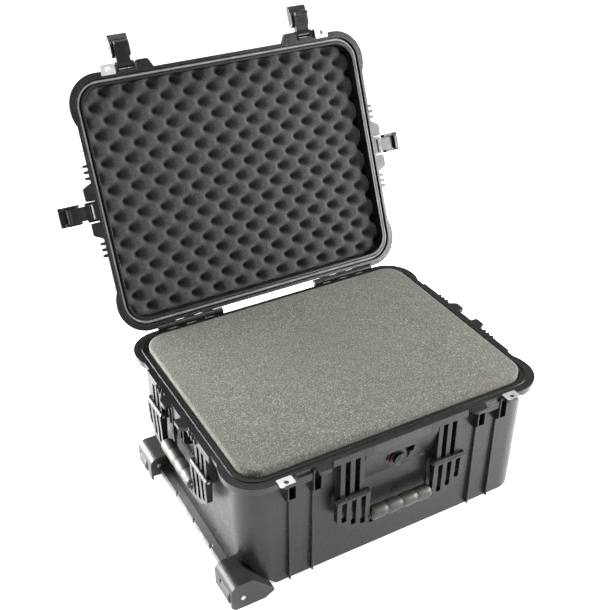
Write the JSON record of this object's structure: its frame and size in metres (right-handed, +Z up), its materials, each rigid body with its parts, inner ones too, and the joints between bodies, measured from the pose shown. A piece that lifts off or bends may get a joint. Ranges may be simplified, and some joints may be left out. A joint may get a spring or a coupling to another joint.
{
  "type": "hard equipment case",
  "caption": "Rigid moulded wheeled equipment case with hinged lid on double-throw latches, fold-down handles, pull-out tow handle and fitted foam, shown open",
  "frame": {"origin": "centre of the base's footprint on the floor, on the underside's middle runner", "axes": "+Z up; +X along the long side towards the pull handle, wheels at -X; latches and carry handle face -Y, lid hinges at +Y"},
  "size_m": [0.727, 0.7159, 0.7406],
  "materials": {
    "shell_resin": "fine leather-like moulded grain, satin black",
    "moulded_fittings": "smooth satin black nylon",
    "seal_rubber": "dark grey elastomer cord",
    "valve_seal_red": "red silicone",
    "steel_hardware": "plain steel",
    "stainless_plate": "stamped stainless, satin",
    "grip_rubber": "over-moulded rubber, worn shiny",
    "wheel_tread": "hard polyurethane tread",
    "wheel_hub_nylon": "moulded nylon",
    "aluminium_tube": "drawn and anodised",
    "steel_guide": "black coated tube",
    "foam_grey": "open-cell foam, speckled grey",
    "foam_charcoal": "convoluted open-cell foam",
    "nameplate_grey": "plain blank plate"
  },
  "bodies": {
    "base": {"base_shell": "shell_resin", "hinge_pin_left": "steel_hardware", "hinge_pin_right": "steel_hardware", "padlock_plates_base": "stainless_plate", "nameplate": "nameplate_grey", "valve_body": "shell_resin", "valve_seal": "valve_seal_red", "wheel_housing_front": "shell_resin", "wheel_housing_rear": "shell_resin", "wheel_axle_front": "steel_hardware", "wheel_axle_rear": "steel_hardware", "housing_screws": "steel_hardware", "wheel_rail": "shell_resin", "tube_guides": "steel_guide", "tube_clamps": "shell_resin", "clamp_screws": "steel_hardware", "base_foam_pad": "foam_grey", "base_foam_middle": "foam_grey", "base_foam_top": "foam_grey"},
    "lid": {"lid_shell": "shell_resin", "lid_seal": "seal_rubber", "padlock_plates_lid": "stainless_plate", "lid_foam": "foam_charcoal", "latch_pin_front_left": "steel_hardware", "latch_pin_front_right": "steel_hardware", "latch_pin_left_side": "steel_hardware", "latch_pin_right_side": "steel_hardware"},
    "claw_front_left": {"latch_claw_front_left": "moulded_fittings"},
    "lever_front_left": {"latch_lever_front_left": "moulded_fittings", "lever_pin_front_left": "steel_hardware"},
    "claw_front_right": {"latch_claw_front_right": "moulded_fittings"},
    "lever_front_right": {"latch_lever_front_right": "moulded_fittings", "lever_pin_front_right": "steel_hardware"},
    "claw_left_side": {"latch_claw_left_side": "moulded_fittings"},
    "lever_left_side": {"latch_lever_left_side": "moulded_fittings", "lever_pin_left_side": "steel_hardware"},
    "claw_right_side": {"latch_claw_right_side": "moulded_fittings"},
    "lever_right_side": {"latch_lever_right_side": "moulded_fittings", "lever_pin_right_side": "steel_hardware"},
    "handle_front": {"handle_front": "moulded_fittings", "handle_grip_front": "grip_rubber", "handle_pins_front": "steel_hardware"},
    "handle_left": {"handle_left": "moulded_fittings", "handle_grip_left": "grip_rubber", "handle_pins_left": "steel_hardware"},
    "handle_right": {"handle_right": "moulded_fittings", "handle_grip_right": "grip_rubber", "handle_pins_right": "steel_hardware"},
    "wheel_front": {"wheel_tyre_front": "wheel_tread", "wheel_hub_front": "wheel_hub_nylon", "wheel_bearings_front": "steel_hardware"},
    "wheel_rear": {"wheel_tyre_rear": "wheel_tread", "wheel_hub_rear": "wheel_hub_nylon", "wheel_bearings_rear": "steel_hardware"},
    "pull_handle": {"pull_grip": "shell_resin", "pull_tubes": "aluminium_tube"},
    "release_button": {"release_button": "shell_resin"},
    "valve_knob": {"valve_knob": "shell_resin"}
  },
  "joints": [
    {"name": "lid_hinge", "type": "hinge", "parent": "base", "child": "lid", "pos_m": [0, 0.24, 0.2495], "axis": [1, 0, 0], "range_deg": [0, 112.5]},
    {"name": "claw_front_left_hinge", "type": "hinge", "parent": "lid", "child": "claw_front_left", "pos_m": [-0.184, 0.434, 0.69302], "axis": [1, 0, 0], "range_deg": [0, 90]},
    {"name": "lever_front_left_hinge", "type": "hinge", "parent": "claw_front_left", "child": "lever_front_left", "pos_m": [-0.184, 0.44673, 0.70939], "axis": [1, 0, 0], "range_deg": [-70, 0]},
    {"name": "claw_front_right_hinge", "type": "hinge", "parent": "lid", "child": "claw_front_right", "pos_m": [0.184, 0.434, 0.69302], "axis": [1, 0, 0], "range_deg": [0, 90]},
    {"name": "lever_front_right_hinge", "type": "hinge", "parent": "claw_front_right", "child": "lever_front_right", "pos_m": [0.184, 0.44673, 0.70939], "axis": [1, 0, 0], "range_deg": [-70, 0]},
    {"name": "claw_left_side_hinge", "type": "hinge", "parent": "lid", "child": "claw_left_side", "pos_m": [-0.308, 0.34062, 0.4676], "axis": [0, 0.3827, 0.9239], "range_deg": [0, 90]},
    {"name": "lever_left_side_hinge", "type": "hinge", "parent": "claw_left_side", "child": "lever_left_side", "pos_m": [-0.328, 0.3457, 0.46549], "axis": [0, 0.3827, 0.9239], "range_deg": [-70, 0]},
    {"name": "claw_right_side_hinge", "type": "hinge", "parent": "lid", "child": "claw_right_side", "pos_m": [0.308, 0.34062, 0.4676], "axis": [0, -0.3827, -0.9239], "range_deg": [0, 90]},
    {"name": "lever_right_side_hinge", "type": "hinge", "parent": "claw_right_side", "child": "lever_right_side", "pos_m": [0.328, 0.3457, 0.46549], "axis": [0, -0.3827, -0.9239], "range_deg": [-70, 0]},
    {"name": "handle_front_hinge", "type": "hinge", "parent": "base", "child": "handle_front", "pos_m": [0, -0.237, 0.155], "axis": [1, 0, 0], "range_deg": [-90, 0]},
    {"name": "handle_left_hinge", "type": "hinge", "parent": "base", "child": "handle_left", "pos_m": [-0.301, 0, 0.188], "axis": [0, -1, 0], "range_deg": [-90, 0]},
    {"name": "handle_right_hinge", "type": "hinge", "parent": "base", "child": "handle_right", "pos_m": [0.301, 0, 0.188], "axis": [0, 1, 0], "range_deg": [-90, 0]},
    {"name": "wheel_front_hinge", "type": "hinge", "parent": "base", "child": "wheel_front", "pos_m": [-0.298, -0.211, 0.025], "axis": [0, 1, 0], "continuous": true},
    {"name": "wheel_rear_hinge", "type": "hinge", "parent": "base", "child": "wheel_rear", "pos_m": [-0.298, 0.151, 0.025], "axis": [0, 1, 0], "continuous": true},
    {"name": "pull_handle_slide", "type": "slide", "parent": "base", "child": "pull_handle", "axis": [1, 0, 0], "range_m": [0, 0.35]},
    {"name": "release_button_slide", "type": "slide", "parent": "pull_handle", "child": "release_button", "axis": [-1, 0, 0], "range_m": [0, 0.003], "stiffness_N_per_m": 300},
    {"name": "valve_knob_hinge", "type": "hinge", "parent": "base", "child": "valve_knob", "pos_m": [0, -0.23, 0.19], "axis": [0, -1, 0], "range_deg": [0, 360]}
  ]
}
